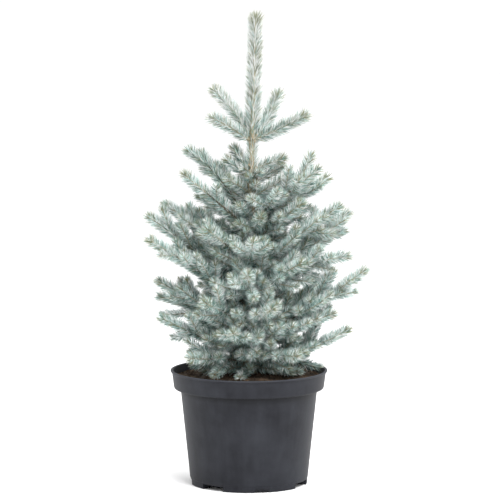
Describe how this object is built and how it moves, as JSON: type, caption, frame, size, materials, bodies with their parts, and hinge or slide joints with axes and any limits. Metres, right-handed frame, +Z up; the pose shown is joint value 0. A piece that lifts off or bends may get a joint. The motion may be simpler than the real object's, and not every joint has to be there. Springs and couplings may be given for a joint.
{
  "type": "potted blue spruce",
  "caption": "Young blue spruce with a straight leader and rising whorled boughs of blue-green needles, standing in a round black nursery pot filled with soil.",
  "frame": {"origin": "middle of the flat underside of the pot", "axes": "+Z up along the trunk, +X to the plant's right as seen from the front, -Y towards the front"},
  "size_m": [0.432, 0.3513, 0.9016],
  "materials": {
    "pot": "matte",
    "soil": "matte",
    "bark": "matte",
    "needles": "satin"
  },
  "bodies": {
    "root": {"pot": "pot", "soil": "soil", "trunk": "bark", "limb_broad_1": "bark", "limb_broad_2": "bark", "limb_broad_4": "bark", "limb_broad_8": "bark", "limb_lower_1": "bark", "limb_lower_2": "bark", "limb_middle_2": "bark", "limb_upper_3": "bark", "limb_upper_5": "bark", "limb_upper_6": "bark", "leader_needles": "needles", "foliage_broad_1": "needles", "foliage_broad_2": "needles", "foliage_broad_3": "needles", "foliage_broad_4": "needles", "foliage_broad_5": "needles", "foliage_broad_6": "needles", "foliage_broad_7": "needles", "foliage_broad_8": "needles", "foliage_lower_1": "needles", "foliage_lower_2": "needles", "foliage_lower_3": "needles", "foliage_lower_4": "needles", "foliage_lower_5": "needles", "foliage_middle_1": "needles", "foliage_middle_2": "needles", "foliage_middle_3": "needles", "foliage_middle_4": "needles", "foliage_middle_5": "needles", "foliage_skirt_1": "needles", "foliage_skirt_2": "needles", "foliage_skirt_3": "needles", "foliage_skirt_4": "needles", "foliage_skirt_5": "needles", "foliage_skirt_6": "needles", "foliage_skirt_7": "needles", "foliage_skirt_8": "needles", "foliage_skirt_9": "needles", "foliage_stem_1": "needles", "foliage_stem_2": "needles", "foliage_stem_3": "needles", "foliage_stem_4": "needles", "foliage_stem_5": "needles", "foliage_stem_6": "needles", "foliage_stem_7": "needles", "foliage_top_1": "needles", "foliage_top_2": "needles", "foliage_top_3": "needles", "foliage_top_4": "needles", "foliage_upper_1": "needles", "foliage_upper_2": "needles", "foliage_upper_3": "needles", "foliage_upper_4": "needles", "foliage_upper_5": "needles", "foliage_upper_6": "needles", "foliage_upper_7": "needles", "foliage_upper_8": "needles"}
  },
  "joints": []
}
